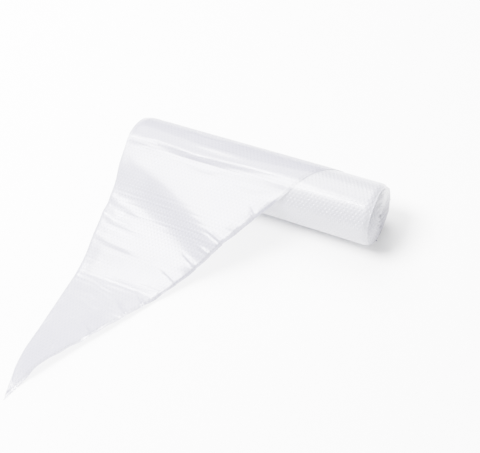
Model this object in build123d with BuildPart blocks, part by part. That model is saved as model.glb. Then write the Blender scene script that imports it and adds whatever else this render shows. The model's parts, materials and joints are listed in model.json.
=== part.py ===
"""Roll of tear-off piping bags: one perforated lay-flat film web wound without a core.

Frame: +X along the roll, +Y from the pulled-out bag's point towards the roll, +Z up. The
origin is on the table in the middle of the footprint. Millimetres throughout.

The web is a flattened tube. A straight tear line crosses it once every repeat, and a slanted
welded tear line runs from corner to corner in between, so each repeat holds two triangular
bags that point opposite ways. Bag 1 lies pulled out in front of the roll, the others are wound.
"""
import os
from math import ceil, cos, pi, radians, sin, sqrt

from build123d import *

os.makedirs("parts", exist_ok=True)

# ---- driving dimensions ----
WEB = 170.0            # width of the web, which is the width of a bag's mouth
REPEAT = 262.0         # web length from one straight tear line to the next
BAGS = 49              # bags on the roll: an odd number, the first one lies pulled out
ROLL_R = 19.6          # outside radius of the roll
FILM = 0.13            # two plies of 65 micron film
PITCH = 0.178          # radial growth of the roll per turn, film and trapped air
PLAY = 0.25            # radial play between the pulled-out bag's film and the wound roll
TEAR = 0.3             # open slot standing for a tear line that is perforated right through
GAP = 0.05             # radial gap between one pair of wound bags and the next
HINGE = 0.2            # slot between the segments of bag 1, at each line it bends about

LEAVE = 30.0           # degrees before the top of the roll at which the film leaves it
SLOPE = 30.0           # fall of the free film below the horizontal, degrees
FOOT_R = 55.0          # radius on which the sloping film bends to lie on the table
WRAP_END = 199.6       # degrees past the top at which bag 1 ends and the wound bags start
FOLD_OUT = 95.0        # distance in front of the roll's axis at which the lying film folds
TIP_OUT = 155.0        # distance in front of the roll's axis at which the tip curls

# ---- derived dimensions ----
HALF = WEB / 2
RISE = WEB / REPEAT                      # how fast the slanted tear line crosses the web
AXIS_Z = ROLL_R
WRAP_R = ROLL_R - FILM / 2               # middle of the film of bag 1 on the roll
WOUND_R = ROLL_R - FILM - PLAY - FILM / 2   # middle of the outermost wound film
S_LEAVE = REPEAT - radians(WRAP_END + LEAVE) * WRAP_R
LEAVE_OUT = WRAP_R * sin(radians(LEAVE))
LEAVE_Z = AXIS_Z + WRAP_R * cos(radians(LEAVE))
FALL = (LEAVE_Z - FILM / 2) / sin(radians(SLOPE))
TANGENT = FOOT_R * sin(radians(SLOPE)) / (1 + cos(radians(SLOPE)))
STRAIGHT = FALL - TANGENT
FOOT_OUT = LEAVE_OUT + FALL * cos(radians(SLOPE)) + TANGENT
S_FOOT = S_LEAVE - STRAIGHT - FOOT_R * radians(SLOPE)
APEX_OUT = FOOT_OUT + S_FOOT             # the bag's point, where web length is counted from
SHORT = 2 * TEAR                         # how far the tip's solid stops short of that point
AXIS_Y = (APEX_OUT - SHORT - ROLL_R) / 2
LEAVE_Y, FOOT_Y, FOLD_Y, TIP_Y, APEX_Y = (
    AXIS_Y - out for out in (LEAVE_OUT, FOOT_OUT, FOLD_OUT, TIP_OUT, APEX_OUT)
)


# ---- the line the film follows, seen along the roll ----
def wound_r(s):
    """Radius of mid film at web length s past the first wound tear line."""
    return sqrt(WOUND_R ** 2 - s * PITCH / pi)


def wrap_point(s, off):
    """(y, z) on the part of bag 1 that still goes round the roll, s counted from its point."""
    turned = (s - S_LEAVE) / WRAP_R - radians(LEAVE)
    return AXIS_Y + (WRAP_R + off) * sin(turned), AXIS_Z + (WRAP_R + off) * cos(turned)


def free_point(s, off):
    """(y, z) on the part of bag 1 that slopes from the roll down to the table."""
    along = S_LEAVE - s
    a = radians(SLOPE)
    if along <= STRAIGHT:
        y, z, lean = LEAVE_Y - along * cos(a), LEAVE_Z - along * sin(a), a
    elif s >= S_FOOT:
        lean = (s - S_FOOT) / FOOT_R
        y, z = FOOT_Y + FOOT_R * sin(lean), FILM / 2 + FOOT_R * (1 - cos(lean))
    else:
        y, z, lean = FOOT_Y - (S_FOOT - s), FILM / 2, 0.0
    return y - off * sin(lean), z + off * cos(lean)


# ---- film pieces ----
def tear_edge(point, s0, s1, x0, off, step):
    """One long edge of the slanted tear line, on the face off mm from mid film."""
    n = max(3, ceil((s1 - s0) / step))
    stations = [s0 + (s1 - s0) * i / n for i in range(n + 1)]
    with BuildLine() as edge:
        Spline(*[(x0 + RISE * (s - s0), *point(s, off)) for s in stations])
    return edge.edge()


def film_piece(point, s0, s1, x0, side, step):
    """Film between the slanted tear line and the web's edge on the given side, -1 or +1."""
    cut = Face.make_surface_from_curves(
        tear_edge(point, s0, s1, x0, FILM / 2, step), tear_edge(point, s0, s1, x0, -FILM / 2, step)
    )
    with BuildPart() as piece:
        extrude(to_extrude=cut, amount=1.5 * WEB, dir=(side, 0, 0))
        with Locations((side * (HALF + WEB), 0, AXIS_Z)):
            Box(2 * WEB, 6 * WEB, 6 * WEB, mode=Mode.SUBTRACT)
    return piece.part


def flat_piece(y0, y1):
    """Film of bag 1 lying on the table from y0 to y1, cut along the slanted tear line."""
    x_at = lambda y: -HALF + RISE * (y - APEX_Y) - TEAR / 2
    with BuildPart() as piece:
        with BuildSketch(Plane.XY):
            with BuildLine():
                Polyline((-HALF, y0), (x_at(y0), y0), (x_at(y1), y1), (-HALF, y1), close=True)
            make_face()
        extrude(amount=FILM)
    return piece.part


EDGE = TEAR / 2

# ---- bag 1: the pulled-out bag, in segments that bend about three lines ----
with BuildPart() as bag_01_wrap:
    add(film_piece(wrap_point, S_LEAVE + HINGE / 2, REPEAT - EDGE,
                   -HALF + RISE * (S_LEAVE + HINGE / 2) - EDGE, -1, 6.0))
bag_01_wrap.part.label = "bag_01_wrap"
export_step(bag_01_wrap.part, "parts/bag_01_wrap.step")

with BuildPart() as bag_01_flap:
    s_fold = FOLD_Y + HINGE / 2 - APEX_Y
    add(film_piece(free_point, s_fold, S_LEAVE - HINGE / 2, -HALF + RISE * s_fold - EDGE, -1, 3.0))
bag_01_flap.part.label = "bag_01_flap"
export_step(bag_01_flap.part, "parts/bag_01_flap.step")

with BuildPart() as bag_01_panel:
    add(flat_piece(TIP_Y + HINGE / 2, FOLD_Y - HINGE / 2))
bag_01_panel.part.label = "bag_01_panel"
export_step(bag_01_panel.part, "parts/bag_01_panel.step")

with BuildPart() as bag_01_tip:
    add(flat_piece(APEX_Y + SHORT, TIP_Y - HINGE / 2))
bag_01_tip.part.label = "bag_01_tip"
export_step(bag_01_tip.part, "parts/bag_01_tip.step")

# ---- bags 2 and up: each one's turns of film are one band of the roll's thickness ----
# Even bags lie on the +X side of the slanted tear line and odd ones on the -X side. The line
# starts at the web's -X edge and ends at its +X edge, and here crosses the band in a plane.
for pair in range(BAGS // 2):
    r_out, r_in = wound_r(pair * REPEAT), wound_r((pair + 1) * REPEAT)
    turned = radians(WRAP_END) + 2 * pi * (WOUND_R - r_out) / PITCH
    r_mid = (r_out + r_in) / 2
    for number, side in ((2 * pair + 2, 1), (2 * pair + 3, -1)):
        tear = Plane(
            origin=(side * EDGE * sqrt(1 + (HALF / r_mid) ** 2), AXIS_Y, AXIS_Z),
            z_dir=(side, side * HALF / r_mid * sin(turned), side * HALF / r_mid * cos(turned)),
        )
        with BuildPart() as wound_bag:
            with BuildSketch(Plane.YZ.offset(-HALF)):
                with Locations((AXIS_Y, AXIS_Z)):
                    Circle(r_out + FILM / 2)
                    Circle(r_in + FILM / 2 + GAP, mode=Mode.SUBTRACT)
            extrude(amount=WEB)
            split(bisect_by=tear, keep=Keep.TOP)
        wound_bag.part.label = f"bag_{number:02d}"
        export_step(wound_bag.part, f"parts/bag_{number:02d}.step")
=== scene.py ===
"""Looks of a roll of tear-off piping bags: a web of embossed film, wound without a core.

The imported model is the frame. Every film piece is a surface worked out on a grid of two
parameters: x across the web and s along it, both in millimetres. s is 0 at the point of the
pulled-out bag. A film position is turned into a place in space by the line that the film
follows off the table, over the roll and round it.
"""

import json
import math

import bpy
import numpy as np
from bpy.props import FloatProperty, FloatVectorProperty, IntProperty, PointerProperty
from mathutils import Matrix, Vector

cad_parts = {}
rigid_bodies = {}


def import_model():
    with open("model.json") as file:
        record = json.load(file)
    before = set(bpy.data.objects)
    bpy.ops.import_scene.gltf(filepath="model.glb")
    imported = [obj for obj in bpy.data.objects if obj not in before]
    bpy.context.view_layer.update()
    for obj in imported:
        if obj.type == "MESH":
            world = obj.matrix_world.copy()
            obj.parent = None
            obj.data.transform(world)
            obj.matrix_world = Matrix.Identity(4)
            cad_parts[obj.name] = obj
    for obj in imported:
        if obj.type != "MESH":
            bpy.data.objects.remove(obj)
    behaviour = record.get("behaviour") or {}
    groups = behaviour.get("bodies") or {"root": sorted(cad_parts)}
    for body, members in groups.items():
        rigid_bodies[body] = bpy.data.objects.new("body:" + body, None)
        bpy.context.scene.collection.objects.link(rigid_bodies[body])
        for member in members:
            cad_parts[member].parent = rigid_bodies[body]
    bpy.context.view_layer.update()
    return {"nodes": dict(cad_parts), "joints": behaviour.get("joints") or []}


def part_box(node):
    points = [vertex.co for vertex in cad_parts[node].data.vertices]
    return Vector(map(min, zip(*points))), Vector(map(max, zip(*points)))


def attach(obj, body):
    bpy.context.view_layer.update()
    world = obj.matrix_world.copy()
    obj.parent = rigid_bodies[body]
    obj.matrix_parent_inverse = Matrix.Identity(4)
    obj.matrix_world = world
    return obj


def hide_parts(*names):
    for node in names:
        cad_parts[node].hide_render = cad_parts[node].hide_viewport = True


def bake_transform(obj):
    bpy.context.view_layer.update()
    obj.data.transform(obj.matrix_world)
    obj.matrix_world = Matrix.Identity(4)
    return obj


bl_info = {
    "name": "Piping bag roll",
    "version": (1, 0, 0),
    "blender": (4, 5, 0),
    "location": "View3D > Sidebar > Film roll",
    "description": "Builds a roll of embossed tear-off piping bags round its packed frame",
    "category": "Object",
}

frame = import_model()
MM = 0.001

# ---- what the frame says, in millimetres ----
_wrap_low, _wrap_high = (np.array(corner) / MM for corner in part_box("bag_01_wrap"))
_joints = {joint["name"]: joint for joint in frame["joints"]}
LEFT = _wrap_low[0]  # x of the web's left edge, which is bag 1's closed fold
WEB = -2 * LEFT  # width of the web, and length of the roll
ROLL_R = _wrap_high[2] / 2
AXIS_Y = _wrap_high[1] - ROLL_R
LEAVE_Y, LEAVE_Z = (_joints["flap_lift"]["pos_m"][k] / MM for k in (1, 2))
FOLD_Y = _joints["panel_fold"]["pos_m"][1] / MM
CURL_Y = _joints["tip_curl"]["pos_m"][1] / MM
LEAVE_TURN = math.asin((AXIS_Y - LEAVE_Y) / ROLL_R)  # from the roll's top to where film leaves it
WOUND = sorted(node for node in frame["nodes"] if node.startswith("bag_") and len(node) == 6)

# ---- fixed sizes of the shapes, in millimetres ----
END_LENGTH = 5.0  # length over which each end of the roll is rounded
LINE_STEP = 0.5  # step along the web of the table of the smooth film
UPPER_CUT, LOWER_CUT = 118.0, 60.0  # web lengths at which bag 1 is cut into its three pieces
TORN = 0.15  # film lost at each torn perforation
TOOTH_PITCH, TOOTH_DEPTH = 1.6, 0.16  # teeth of the torn slanted edge
LYING, FLOAT = 0.06, 0.03  # height of the smooth lying film, and of the lowest of its folds


# ---- sizes and colours a user would change ----
def srgb(text):
    """A hex sRGB colour as linear red, green, blue and 1."""
    parts = [int(text[k:k + 2], 16) / 255 for k in (1, 3, 5)]
    return [c / 12.92 if c <= 0.04045 else ((c + 0.055) / 1.055) ** 2.4 for c in parts] + [1.0]


class FilmSizes(bpy.types.PropertyGroup):
    repeat: FloatProperty(
        name="Repeat", description="Web length from one straight tear line to the next, in mm",
        default=262.0, min=50.0)
    film: FloatProperty(
        name="Film", description="Thickness of a bag's two plies pressed flat, in mm",
        default=0.13, min=0.02)
    turn_growth: FloatProperty(
        name="Growth per turn", description="How much one turn adds to the roll's radius, in mm",
        default=0.178, min=0.05)
    play: FloatProperty(
        name="Play", description="Gap between the pulled-out bag and the wound film, in mm",
        default=0.25, min=0.0)
    wrap_end: FloatProperty(
        name="Wrap end", description="How far past the roll's top the first bag ends",
        default=math.radians(199.6), subtype="ANGLE", unit="ROTATION")
    dot_across: FloatProperty(
        name="Dot spacing", description="Spacing of the embossed dots across the web, in mm",
        default=2.5, min=0.5)
    dot_rows: FloatProperty(
        name="Row spacing", description="Spacing of the rows of dots along the web, in mm",
        default=2.05, min=0.5)


class FilmLooks(bpy.types.PropertyGroup):
    clear: FloatVectorProperty(
        name="Loose film", description="Colour of the film that lies loose",
        default=srgb("#8B899C")[:3], subtype="COLOR", min=0.0, max=1.0)
    packed: FloatVectorProperty(
        name="Wound film", description="Colour of many layers of film together",
        default=srgb("#9998A4")[:3], subtype="COLOR", min=0.0, max=1.0)
    opacity: FloatProperty(
        name="Opacity", description="How much one ply of loose film hides", default=0.72,
        min=0.05, max=1.0, subtype="FACTOR")


class StageLooks(bpy.types.PropertyGroup):
    key_power: FloatProperty(
        name="Key light", description="Power of the soft light over the left side", default=130.0,
        min=0.0, unit="POWER")
    fill: FloatProperty(
        name="Fill", description="Strength of the even white surroundings", default=0.95, min=0.0)
    lens: FloatProperty(
        name="Lens", description="Focal length of the camera, in mm", default=63.13, min=10.0)
    roll: FloatProperty(
        name="Camera roll", description="Turn of the camera about its own line of sight",
        default=math.radians(-18.35), subtype="ANGLE", unit="ROTATION")
    seed: IntProperty(name="Seed", description="Seed of the small irregularities", default=7)


# ---- small tools ----
def add_node(tree, kind, links=(), **settings):
    """Adds one node, sets its plain settings and its sockets, and links its inputs."""
    made = tree.nodes.new(kind)
    for key, value in settings.items():
        if key.startswith("in_"):
            name = key[3:].replace("_", " ")
            socket = made.inputs[int(name)] if name.isdigit() else made.inputs[name]
            socket.default_value = value
        else:
            setattr(made, key, value)
    for socket, source in links:
        tree.links.new(source, made.inputs[socket])
    return made


def smooth(t):
    """0 below 0, 1 above 1, and t * t * (3 - 2 t) between them."""
    t = np.clip(t, 0.0, 1.0)
    return t * t * (3 - 2 * t)


def sheet_mesh(name, top, bottom, uv, attributes=()):
    """A closed thin sheet from two grids of points: outer ply, inner ply and their rim."""
    n, m = top.shape[:2]
    points = np.concatenate([top.reshape(-1, 3), bottom.reshape(-1, 3)]) * MM
    i, j = np.meshgrid(np.arange(n - 1), np.arange(m - 1), indexing="ij")
    a = (i * m + j).ravel()
    quads = np.stack([a, a + 1, a + m + 1, a + m], 1)
    low = n * m
    under = quads[:, ::-1] + low
    ring = np.concatenate([
        np.arange(m), np.arange(1, n) * m + m - 1, (n - 1) * m + np.arange(m - 2, -1, -1),
        np.arange(n - 2, 0, -1) * m])
    after = np.roll(ring, -1)
    rim = np.stack([after, ring, ring + low, after + low], 1)
    faces = np.concatenate([quads, under, rim])
    mesh = bpy.data.meshes.new(name)
    mesh.vertices.add(len(points))
    mesh.vertices.foreach_set("co", points.astype(np.float32).ravel())
    mesh.loops.add(faces.size)
    mesh.loops.foreach_set("vertex_index", faces.astype(np.int32).ravel())
    mesh.polygons.add(len(faces))
    mesh.polygons.foreach_set("loop_start", np.arange(0, faces.size, 4, dtype=np.int32))
    mesh.polygons.foreach_set("use_smooth", np.ones(len(faces), bool))
    mesh.update(calc_edges=True)
    layer = mesh.uv_layers.new(name="film")
    flat = np.concatenate([uv.reshape(-1, 2), uv.reshape(-1, 2)])[faces.ravel()] * MM
    layer.data.foreach_set("uv", flat.astype(np.float32).ravel())
    for label, values in attributes:
        both = np.concatenate([values.ravel(), values.ravel()]).astype(np.float32)
        mesh.attributes.new(label, "FLOAT", "POINT").data.foreach_set("value", both)
    mesh.validate()
    mesh.set_sharp_from_angle(angle=math.radians(50))
    piece = bpy.data.objects.new(name, mesh)
    bpy.context.scene.collection.objects.link(piece)
    return piece


# ---- the shape of the pulled-out bag ----
def bell(t):
    """1 at 0 and falling away on both sides: e to the power of minus t squared."""
    return np.exp(-t ** 2)


def ridge(x, s, path, width, height):
    """A soft fold: height times a bell of the distance to a broken line, less half such a bell
    1.7 widths to one side of it. It fades out over a third of its length at either end."""
    path = np.array(path, float)
    lengths = np.hypot(*np.diff(path, axis=0).T)
    shape = np.broadcast(x, s).shape
    distance, across, place = np.full(shape, np.inf), np.zeros(shape), np.zeros(shape)
    passed = 0.0
    for (x0, s0), (x1, s1), length in zip(path[:-1], path[1:], lengths):
        dx, ds = (x1 - x0) / length, (s1 - s0) / length
        along = np.clip((x - x0) * dx + (s - s0) * ds, 0, length)
        off_x, off_s = x - x0 - along * dx, s - s0 - along * ds
        here = np.hypot(off_x, off_s)
        near = here < distance
        across = np.where(near, np.copysign(here, off_x * ds - off_s * dx), across)
        place = np.where(near, (passed + along) / lengths.sum(), place)
        distance = np.where(near, here, distance)
        passed += length
    fade = 0.35
    fold = bell(distance / width) - 0.5 * bell((across - 1.7 * width) / width)
    return height * fold * smooth(place / fade) * smooth((1 - place) / fade)


def folds(x, s, edge, s_leave):
    """Height of the small folds over the smooth film. edge is the x of the slanted line.

    It is the sum of ridges along broken lines, fine ripples between two web lengths, and
    waves that die away inwards from the two edges. It is fixed to the film, not to the roll.
    """
    # Each crease: places (x, s) of its line, its width and its height.
    creases = [
        # Gathers where the film leaves the roll's top.
        ([(-92, 183), (-66, 189), (-33, 187), (0, 189), (55, 193)], 2.3, 0.70),
        ([(-62, 196), (-43, 194), (1, 193), (30, 195), (52, 199)], 2.0, 0.55),
        ([(-80, 204), (-30, 202), (20, 207)], 2.6, 0.40),
        ([(-40, 181), (-24, 179), (-12, 181)], 1.8, 0.18),
        ([(-4, 178), (8, 176), (24, 179)], 1.8, 0.16),
        # Short puckers that start at the slanted weld.
        ([(27, 154), (20, 159), (10, 167)], 0.9, 0.50),
        ([(-10, 145), (3, 141), (14, 135)], 1.0, 0.60),
        ([(-14, 134), (-2, 131), (6, 129)], 1.2, 0.45),
        ([(-22, 127), (-8, 121), (4, 114)], 1.0, 0.48),
        ([(-32, 114), (-10, 105)], 1.0, 0.28),
        ([(-40, 94), (-30, 88), (-22, 83)], 1.0, 0.60),
        ([(-50, 86), (-40, 80), (-30, 74)], 0.9, 0.45),
        # Slack at the closed fold, and small dents near the point.
        ([(-96, 149), (-76, 143), (-50, 138)], 2.6, 0.34),
        ([(-98, 138), (-74, 131), (-46, 129)], 2.2, 0.30),
        ([(-96, 122), (-72, 117), (-42, 116)], 2.0, 0.20),
        ([(-96, 83), (-74, 78), (-46, 72)], 1.3, 0.32),
        ([(-60, 64), (-48, 58), (-38, 52)], 1.0, 0.40),
        ([(-72, 46), (-62, 41)], 0.9, 0.35),
    ]
    # Streaks where the lying film gathers: long, low and nearly across the web.
    for k, place in enumerate((92.0, 88.5, 83.0, 74.5, 69.0, 65.5, 56.0, 49.5, 45.0, 37.0)):
        start = LEFT + 6 + 11 * ((k * 0.618) % 1.0)
        end = LEFT + 0.62 * place * (0.6 + 0.4 * ((k * 0.382) % 1.0))
        creases.append(([(start, place), (end, place - 5 - k % 3)], 0.8 + 0.1 * (k % 4), 0.20))
    h = sum(ridge(x, s, *crease) for crease in creases)
    # Fine ripples 3.4 mm apart, in patches, on the lying film and half way up the slope.
    fine = np.sin(2 * math.pi * (s + 0.04 * x + 1.2 * np.sin(x / 19)) / 3.4)
    fine = fine * (0.5 + 0.5 * np.sin(x / 11 + s / 5) * np.sin(x / 7 - s / 9))
    h += 0.075 * fine * (smooth((s - 62) / 10) * smooth((108 - s) / 10)
                        + 0.8 * smooth((s - 132) / 8) * smooth((160 - s) / 8))
    # Both edges flutter where the film is off the roll, the slanted one more.
    loose = smooth((s_leave - 4 - s) / 12)
    near = loose * np.exp(-np.maximum(edge - x, 0) / 6.0)
    h += near * (0.35 * np.sin(s / 3.1 + 0.6 * np.sin(s / 7)) + 0.25 * np.sin(s / 1.7))
    nearer = loose * np.exp(-np.maximum(x - LEFT, 0) / 5.0)
    h += nearer * 0.22 * np.sin(s / 2.9 + np.sin(s / 11))
    # The weld curls down a little, and so does the round of the closed fold.
    curl = 0.8 * loose * (0.2 + 0.8 * smooth((s - 40) / 60))
    h -= curl * smooth((x - edge + 4.5) / 4.5) ** 2
    h -= 0.35 * loose * smooth((LEFT + 2.5 - x) / 2.5) ** 2
    return h


def free_lines(sizes):
    """Places of the smooth film in front of the roll, on a grid of x and web length s.

    The film's lean below the horizontal is 24 degrees, with a steeper band that runs aslant
    and a flatter trough beyond it, and it fades to nothing where the film reaches the table.
    Summing sin and cos of the lean along s gives height and depth. Each column's lean is
    scaled until the column's drop is the height at which the film leaves the roll.
    """
    x = np.arange(LEFT, -LEFT + 0.5, 1.0)[:, None]
    s_leave = sizes.repeat - (sizes.wrap_end + LEAVE_TURN) * (ROLL_R - sizes.film / 2)
    s = np.arange(0.0, s_leave + LINE_STEP / 2, LINE_STEP)[None, :]
    along = s_leave - s
    across = x - LEFT
    aslant = along - 0.12 * across - 0.0031 * across ** 2
    lean = 24.0 + 17.0 * bell((aslant - 23) / 12.0)
    lean -= (3.0 + 6.0 * np.exp(-across / 25)) * bell((aslant - 46) / 10)
    lean = lean * smooth((98 + 0.05 * across - along) / 26) ** 0.6
    # Over the first 8 mm the lean starts from that of the roll where the film leaves it.
    lean = np.where(along < 8, 30 + (lean - 30) * smooth(along / 8), lean)
    lean = np.radians(lean)
    scale = np.ones_like(x)
    for _ in range(12):
        bent = lean * (1 + (scale - 1) * smooth(along / 12))
        drop = np.sum(np.sin(bent), axis=1, keepdims=True) * LINE_STEP
        scale *= (LEAVE_Z - 0.1) / drop
    z = LYING + np.cumsum(np.sin(bent), axis=1) * LINE_STEP
    back = np.cumsum(np.cos(bent)[:, ::-1], axis=1)[:, ::-1] * LINE_STEP
    y = LEAVE_Y - back + LINE_STEP
    z += LEAVE_Z - z[:, -1:]
    return x[:, 0], s[0], y, np.maximum(z, LYING), s_leave


def sample(table, xs, ss, x, s):
    """Value of a table over xs and ss at the points x, s, weighed between its four neighbours."""
    i = np.clip((x - xs[0]) / (xs[1] - xs[0]), 0, len(xs) - 1.001)
    j = np.clip((s - ss[0]) / (ss[1] - ss[0]), 0, len(ss) - 1.001)
    a, b = i.astype(int), j.astype(int)
    p, q = i - a, j - b
    return ((1 - p) * (1 - q) * table[a, b] + p * (1 - q) * table[a + 1, b]
            + (1 - p) * q * table[a, b + 1] + p * q * table[a + 1, b + 1])


def bag_one_point(sizes, lines, x, s, lift):
    """Point of bag 1 at film place x, s, lift mm outside the smooth inner ply.

    The smooth film is the free lines in front of the roll and an arc about the roll's axis
    past the leaving line, mixed over 6 mm. The folds and the lift are added along its normal,
    which is the cross product of its steps along x and s.
    """
    xs, ss, ys, zs, s_leave = lines
    edge = LEFT + (WEB / sizes.repeat) * s
    step = 0.6

    def smooth_film(x, s):
        free = np.stack([x, sample(ys, xs, ss, x, s), sample(zs, xs, ss, x, s)], -1)
        # On the roll the left end is rounded, and the slanted edge hugs the film under it.
        wound = smooth((s - s_leave - 1) / 14)
        rounded = smooth((LEFT + END_LENGTH - x) / END_LENGTH) ** 1.5 * wound
        hug = 0.2 * smooth((x - edge + 6) / 5) * wound
        r = (ROLL_R - sizes.film) * (1 - 0.05 * rounded) - hug
        turned = (s - s_leave) / (ROLL_R - sizes.film / 2) - LEAVE_TURN
        round_ = np.stack([x, AXIS_Y + r * np.sin(turned), ROLL_R + r * np.cos(turned)], -1)
        w = smooth((s - s_leave + 3) / 6)[..., None]
        point = round_ * w + free * (1 - w)
        # The lying film's slanted edge stands up 3.4 mm, its last part humps up 1.9 mm, and
        # its point bends 7.8 mm to the right.
        loose = smooth((112 - s) / 40) * smooth((s - 6) / 26)
        share = np.clip((x - LEFT) / np.maximum(edge - LEFT, 1.0), 0, 1)
        point[..., 2] += 3.4 * loose * share ** 1.6
        point[..., 2] += 1.9 * bell((s - 30) / 12) * (0.55 + 0.45 * share)
        point[..., 0] += 7.8 * np.clip((36 - s) / 36, 0, 1) ** 1.7
        return point

    here = smooth_film(x, s)
    dx = smooth_film(x + step, s) - smooth_film(x - step, s)
    ds = smooth_film(x, s + step) - smooth_film(x, s - step)
    normal = np.cross(dx, ds)
    normal /= np.linalg.norm(normal, axis=-1, keepdims=True)
    room = np.where(s > s_leave, 0.75, 1.0)
    h = folds(x, s, edge, s_leave) * room * smooth(s / 10)
    h = np.where(s > s_leave + 4, np.maximum(h, -0.05), h)
    point = here + normal * (h + lift)[..., None]
    point[..., 2] = np.maximum(point[..., 2], FLOAT + lift)
    return point


def bag_one_piece(sizes, lines, name, s0, s1, rows, columns):
    """Bag 1 between two web lengths: rows along s, columns from the fold to the slanted weld.

    x is an even share of the bag's width at s, which grows evenly from the point. The plies
    touch at the fold, at the weld and on the roll, and elsewhere air holds them 0.22 mm apart.
    The slanted edge has the triangular teeth of a torn perforation.
    """
    s = np.linspace(s0, s1, rows)[:, None]
    v = np.linspace(0.0, 1.0, columns)[None, :]
    teeth = TOOTH_DEPTH * np.abs(((s / TOOTH_PITCH) % 1.0) - 0.5) * 2
    width = np.maximum((WEB / sizes.repeat) * s - TORN - teeth, 0.05)
    x = LEFT + v * width
    s = s + 0 * v
    inward = np.minimum(x - LEFT, LEFT + width - x)
    air = sizes.film * 0.8 + 0.22 * smooth((inward - 2.4) / 8) * smooth((lines[4] - 2 - s) / 14)
    inner = bag_one_point(sizes, lines, x, s, np.zeros_like(x))
    outer = bag_one_point(sizes, lines, x, s, air)
    weld = bell((LEFT + width - x - 1.8) / 1.2) * np.ones_like(s)
    rim = np.exp(-inward / 0.5)
    return sheet_mesh(name, outer, inner, np.stack([x, s], -1), [("weld", weld), ("rim", rim)])


# ---- the wound bags ----
def wound_bag(sizes, number, seed):
    """One wound bag: web length along a spiral, x from the slanted line to the closed fold.

    The radius squared falls evenly along the web, so that each turn takes the growth per turn
    off the radius. Long shallow swells, sums of sines of the turned angle and x, stop the roll
    from looking machined. Towards each end of the roll the film pulls in: the radius shrinks
    by 7.5 %, more near the axis, where the wound film closes, and its edge wanders in x.
    """
    rng = np.random.default_rng(seed + number)
    side = 1 if number % 2 == 0 else -1  # even bags have their closed fold on the right
    start = (number // 2 - 1) * sizes.repeat
    outermost = number <= 3  # only these two are seen all over, so they get the fine grid
    rows = 400 if outermost else 230
    columns = 64 if outermost else 14
    s = np.linspace(start + 0.2, start + sizes.repeat - 0.2, rows)[:, None]
    first = ROLL_R - 1.5 * sizes.film - sizes.play
    r = np.sqrt(first ** 2 - s * sizes.turn_growth / math.pi)
    turned = sizes.wrap_end + 2 * math.pi * (first - r) / sizes.turn_growth
    slant = LEFT + (WEB / sizes.repeat) * (s - start) + side * TORN
    crowd = np.linspace(0.0, 1.0, columns)[None, :]
    crowd = 1 - (1 - crowd) ** 1.8  # columns stand closer together towards the roll's end
    x = slant + crowd * (side * WEB / 2 - slant)
    end = smooth((np.abs(x) - (WEB / 2 - END_LENGTH)) / END_LENGTH) ** 1.5
    size = r / ROLL_R
    pleats = 0.5 * np.sin(7 * turned + side) + 0.35 * np.sin(12 * turned + 2)
    pleats = pleats + 0.25 * np.sin(23 * turned + 0.4 * r)
    wander = 0.12 * np.sin(5 * turned + 3 * r) + 0.05 * np.sin(13 * turned + 4.0 * r + side)
    wander += 0.02 * rng.standard_normal(rows)[:, None]
    swell = 0.05 * np.sin(2 * turned + x / 31) + 0.03 * np.sin(3 * turned - x / 17 + 1) - 0.08
    shrink = 0.075 + 0.012 * pleats + 0.9 * bell(r / 4.5)
    radius = (r + size * swell * (1 - end)) * (1 - end * shrink)
    across = x - side * end ** 2 * (0.9 * size ** 8 + 0.10 * pleats * size + wander)
    # The plies and the air between turns together fill the growth per turn, but for a hair.
    half = sizes.turn_growth * 0.48
    shells = []
    for off in (half, -half):
        shells.append(np.stack([
            across, AXIS_Y + (radius + off) * np.sin(turned),
            ROLL_R + (radius + off) * np.cos(turned)], -1))
    weld = bell((np.abs(x - slant) - 1.5) / 0.7)
    rim = np.exp(-np.abs(side * WEB / 2 - x) / 0.6)
    uv = np.stack([x, s + 0 * x + sizes.repeat], -1)
    # On odd bags x runs the other way, so the columns are turned round to face outwards.
    if side < 0:
        shells = [grid[:, ::-1] for grid in shells]
        weld, rim, uv = weld[:, ::-1], rim[:, ::-1], uv[:, ::-1]
    return sheet_mesh(f"film_bag_{number:02d}", *shells, uv, [("weld", weld), ("rim", rim)])


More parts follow.
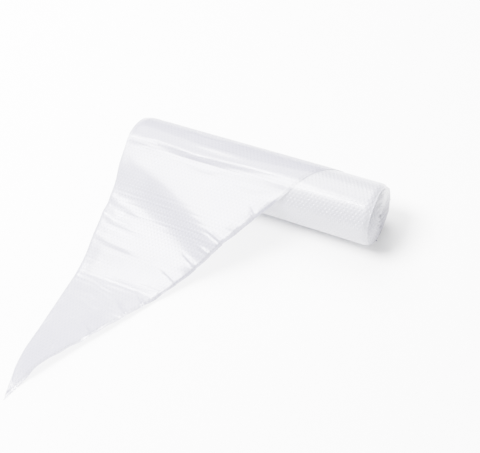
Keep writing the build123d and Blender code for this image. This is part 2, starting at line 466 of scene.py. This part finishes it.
# ---- finishes ----
def embossed_film(name, colour, opacity, sizes, depth, roughness, edge_shade):
    """Low-density polyethylene film, blown, and embossed between rollers with small dots.

    Blown film is milky and waxy: it scatters most light, and its raised dots break the
    reflection of a lamp into a soft sheen. The plies' weld is pressed flat, so it is glossier.
    depth is the dots' height in mm, roughness that of the polished film, and edge_shade how
    bright the edges and the weld are drawn beside the milky film; on the weld part of it is painted
    shade.
    """
    material = bpy.data.materials.new(name)
    material.use_nodes = True
    tree = material.node_tree
    tree.nodes.clear()
    film = add_node(tree, "ShaderNodeUVMap", uv_map="film")
    split = add_node(tree, "ShaderNodeSeparateXYZ", [("Vector", film.outputs[0])])
    # Dots stand where two crossed waves peak together: rows staggered by half a spacing. Real
    # ones are about 2 mm apart, and these are drawn a little coarser so that they show.
    waves = []
    for axis, spacing in (("X", sizes.dot_across), ("Y", 2 * sizes.dot_rows)):
        phase = add_node(tree, "ShaderNodeMath", [(0, split.outputs[axis])],
                         operation="MULTIPLY", in_1=2 * math.pi / (spacing * MM))
        waves.append(add_node(tree, "ShaderNodeMath", [(0, phase.outputs[0])], operation="COSINE"))
    product = add_node(tree, "ShaderNodeMath",
                       [(0, waves[0].outputs[0]), (1, waves[1].outputs[0])], operation="MULTIPLY")
    dots = add_node(tree, "ShaderNodeMapRange", [("Value", product.outputs[0])],
                    interpolation_type="SMOOTHSTEP", in_From_Min=-0.05, in_From_Max=0.65)
    # Cloudy gauge variation of blown film, about 15 mm across.
    cloud = add_node(tree, "ShaderNodeTexNoise", [("Vector", film.outputs[0])],
                     in_Scale=70.0, in_Detail=3.0, in_Roughness=0.55)
    # Stretch marks that run along the web, 1.5 mm wide and 22 mm long.
    stretch = add_node(tree, "ShaderNodeMapping", [("Vector", film.outputs[0])],
                       in_Scale=(650.0, 45.0, 1.0))
    marks = add_node(tree, "ShaderNodeTexNoise", [("Vector", stretch.outputs[0])],
                     in_Scale=1.0, in_Detail=2.0)
    weld = add_node(tree, "ShaderNodeAttribute", attribute_name="weld")
    rim = add_node(tree, "ShaderNodeAttribute", attribute_name="rim")
    # Raised dots are stretched, which makes them milkier than the film between them, and their
    # colour is lightened further as a painted highlight: the sheen their tops catch from the key
    # light.
    dot_whitening_and_sheen = add_node(tree, "ShaderNodeMath", [(0, dots.outputs[0])], operation="MULTIPLY", in_1=0.75)
    tone = add_node(tree, "ShaderNodeMath", [(0, cloud.outputs["Fac"]), (2, dot_whitening_and_sheen.outputs[0])],
                    operation="MULTIPLY_ADD", in_1=0.25)
    # The lighter end of this ramp, where it falls on the dots, is partly painted highlight.
    ramp = add_node(tree, "ShaderNodeMix", [("Factor", tone.outputs[0])], data_type="RGBA")
    ramp.inputs[6].default_value = [c * 0.90 for c in colour] + [1.0]
    ramp.inputs[7].default_value = [c * 1.20 for c in colour] + [1.0]
    # The weld is clear where the plies are melted into one, so it is darker than the milky film,
    # and it is darkened more as painted shade of the curled edge, which turns away from the key
    # light.
    # The film within half a millimetre of its edges is drawn darker too.
    seam_and_shade = add_node(tree, "ShaderNodeMath", [(0, weld.outputs["Fac"])], operation="MULTIPLY",
                    in_1=0.8)
    border = add_node(tree, "ShaderNodeMath", [(0, rim.outputs["Fac"]), (1, seam_and_shade.outputs[0])],
                      operation="MAXIMUM")
    edge = add_node(tree, "ShaderNodeMix", [(0, border.outputs[0]), (6, ramp.outputs[2])],
                    data_type="RGBA")
    edge.inputs[7].default_value = [c * edge_shade for c in colour] + [1.0]
    # The tops of the dots are polished by the roller, and the film between them stays matt.
    rough = add_node(tree, "ShaderNodeMapRange", [("Value", tone.outputs[0])],
                     in_To_Min=roughness + 0.20, in_To_Max=roughness - 0.09)
    pressed = add_node(tree, "ShaderNodeMath", [(0, weld.outputs["Fac"])],
                       operation="MULTIPLY", in_1=0.12)
    glossy = add_node(tree, "ShaderNodeMath", [(0, rough.outputs[0]), (1, pressed.outputs[0])],
                      operation="SUBTRACT")
    # Relief: the dots, then the stretch marks, then the raised weld.
    dotted = add_node(tree, "ShaderNodeBump", [("Height", dots.outputs[0])],
                      in_Strength=1.0, in_Distance=depth * MM)
    marked = add_node(tree, "ShaderNodeBump",
                      [("Height", marks.outputs["Fac"]), ("Normal", dotted.outputs[0])],
                      in_Strength=1.0, in_Distance=0.05 * MM)
    welded = add_node(tree, "ShaderNodeBump",
                      [("Height", weld.outputs["Fac"]), ("Normal", marked.outputs[0])],
                      in_Strength=0.8, in_Distance=0.15 * MM)
    shader = add_node(
        tree, "ShaderNodeBsdfPrincipled",
        [("Base Color", edge.outputs[2]), ("Roughness", glossy.outputs[0]),
         ("Normal", welded.outputs[0])],
        in_IOR=1.51, in_Alpha=opacity,
        in_Specular_IOR_Level=1.0, in_Coat_Weight=0.32, in_Coat_Roughness=0.16)
    add_node(tree, "ShaderNodeOutputMaterial", [("Surface", shader.outputs[0])])
    return material


# ---- operators ----
class BAG_OT_pulled_out(bpy.types.Operator):
    """The first bag: round the roll, down to the table and out to its point"""

    bl_idname = "film.pulled_out_bag"
    bl_label = "Pulled-out bag"

    def execute(self, context):
        sizes, looks = context.scene.film_sizes, context.scene.film_looks
        lines = free_lines(sizes)
        finish = embossed_film("Embossed polyethylene film", looks.clear, looks.opacity, sizes,
                               depth=0.30, roughness=0.24, edge_shade=0.74)
        # Each piece: its name, the web lengths it runs between, its grid and its nodes.
        parts = [
            ("film_bag_01_upper", UPPER_CUT, sizes.repeat - TORN, 300, 150,
             ["bag_01_wrap", "bag_01_flap"]),
            ("film_bag_01_middle", LOWER_CUT, UPPER_CUT, 120, 120, ["bag_01_panel"]),
            ("film_bag_01_point", 2 * TORN, LOWER_CUT, 120, 90, ["bag_01_tip"]),
        ]
        # Each piece also has two bodies and two places on it, which the loop reads but does not
        # use.
        bends = [
            ("film", "flap", (0, LEAVE_Y, LEAVE_Z), (0, LEAVE_Y - 16, LEAVE_Z)),
            ("flap", "panel", (0, FOLD_Y + 7, 0), (0, FOLD_Y - 7, 0)),
            ("panel", "tip", (0, CURL_Y + 6, 0), (0, CURL_Y - 6, 0)),
        ]
        for (name, s0, s1, rows, columns, nodes), (a, b, start, end) in zip(parts, bends):
            piece = bag_one_piece(sizes, lines, name, s0, s1, rows, columns)
            piece.data.materials.append(finish)
            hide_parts(*nodes)
            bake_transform(piece)
        return {"FINISHED"}


class BAG_OT_wound(bpy.types.Operator):
    """The wound bags, each with its own turns of film"""

    bl_idname = "film.wound_bags"
    bl_label = "Wound bags"

    def execute(self, context):
        sizes, looks = context.scene.film_sizes, context.scene.film_looks
        finish = embossed_film("Wound polyethylene film", looks.packed, 1.0, sizes,
                               depth=0.26, roughness=0.24, edge_shade=0.97)
        for node in WOUND:
            number = int(node[-2:])
            piece = wound_bag(sizes, number, context.scene.stage_looks.seed)
            piece.data.materials.append(finish)
            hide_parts(node)
            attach(piece, "roll")
        return {"FINISHED"}


class BAG_OT_stage(bpy.types.Operator):
    """The floor, the lights and the camera"""

    bl_idname = "film.stage"
    bl_label = "Stage"

    def execute(self, context):
        looks = context.scene.stage_looks
        # The floor lies a hair under the frame's zero, so that nothing flickers on it.
        bpy.ops.mesh.primitive_plane_add(size=8.0, location=(0, 0, -0.0001))
        floor = context.object
        floor.name = "floor"
        paper = bpy.data.materials.new("Matt white table top")
        paper.use_nodes = True
        shader = paper.node_tree.nodes["Principled BSDF"]
        shader.inputs["Base Color"].default_value = srgb("#F6F6F6")
        shader.inputs["Roughness"].default_value = 0.9
        shader.inputs["Specular IOR Level"].default_value = 0.1
        floor.data.materials.append(paper)

        world = context.scene.world or bpy.data.worlds.new("Studio")
        context.scene.world = world
        world.use_nodes = True
        sky = world.node_tree.nodes["Background"]
        sky.inputs["Color"].default_value = (1.0, 1.0, 1.0, 1.0)
        sky.inputs["Strength"].default_value = looks.fill

        target = Vector((-0.02, 0.03, 0.01))
        # Milky film scatters more than half of the light on through it. That share comes
        # from a twin of the key light, in the same place, which the loose bag doesn't block.
        through = 0.6
        key_way = (-0.43, -0.13, 0.89)
        # Each lamp: its name, its way and distance from the target, its side and its power.
        lamps = [
            ("key_softbox", key_way, 1.1, 0.52, looks.key_power * (1 - through)),
            ("key_through_film", key_way, 1.1, 0.52, looks.key_power * through),
            ("back_softbox", (-0.33, 0.50, 0.80), 1.3, 0.9, looks.key_power * 0.70),
            ("side_card", (0.88, -0.20, 0.35), 1.0, 0.6, looks.key_power * 0.09),
        ]
        for name, way, distance, size, power in lamps:
            lamp = bpy.data.lights.new(name, "AREA")
            lamp.energy = power
            lamp.shape = "SQUARE"
            lamp.size = size
            holder = bpy.data.objects.new(name, lamp)
            context.scene.collection.objects.link(holder)
            way = Vector(way).normalized()
            holder.location = target + way * distance
            holder.rotation_euler = (-way).to_track_quat("-Z", "Y").to_euler()
            if name == "key_through_film":
                loose = bpy.data.collections.new("loose_film")
                for piece in context.scene.objects:
                    if piece.name.startswith("film_bag_01"):
                        loose.objects.link(piece)
                holder.light_linking.blocker_collection = loose
                for entry in loose.collection_objects:
                    entry.light_linking.link_state = "EXCLUDE"

        camera = bpy.data.cameras.new("camera")
        camera.lens = looks.lens
        camera.sensor_width = 36.0
        holder = bpy.data.objects.new("camera", camera)
        context.scene.collection.objects.link(holder)
        place = Vector((0.21284, AXIS_Y * MM - 0.25826, 0.43144))
        aim = Vector((-0.0008, AXIS_Y * MM - 0.02524, 0.0))
        turn = (aim - place).to_track_quat("-Z", "Y").to_matrix()
        holder.matrix_world = Matrix.Translation(place) @ (
            turn @ Matrix.Rotation(looks.roll, 3, "Z")).to_4x4()
        context.scene.camera = holder
        return {"FINISHED"}


class BAG_PT_panel(bpy.types.Panel):
    bl_idname = "BAG_PT_panel"
    bl_label = "Piping bag roll"
    bl_space_type = "VIEW_3D"
    bl_region_type = "UI"
    bl_category = "Film roll"

    def draw(self, context):
        for kind in OPERATORS:
            self.layout.operator(kind.bl_idname)
        for group in ("film_sizes", "film_looks", "stage_looks"):
            data = getattr(context.scene, group)
            for key in data.__annotations__:
                self.layout.prop(data, key)


GROUPS = {"film_sizes": FilmSizes, "film_looks": FilmLooks, "stage_looks": StageLooks}
OPERATORS = (BAG_OT_pulled_out, BAG_OT_wound, BAG_OT_stage)
CLASSES = (*GROUPS.values(), *OPERATORS, BAG_PT_panel)


def register():
    for kind in CLASSES:
        bpy.utils.register_class(kind)
    for name, kind in GROUPS.items():
        setattr(bpy.types.Scene, name, PointerProperty(type=kind))


def unregister():
    for name in GROUPS:
        delattr(bpy.types.Scene, name)
    for kind in reversed(CLASSES):
        bpy.utils.unregister_class(kind)


def main():
    register()
    bpy.ops.film.pulled_out_bag()
    bpy.ops.film.wound_bags()
    bpy.ops.film.stage()


if __name__ == "__main__":
    main()
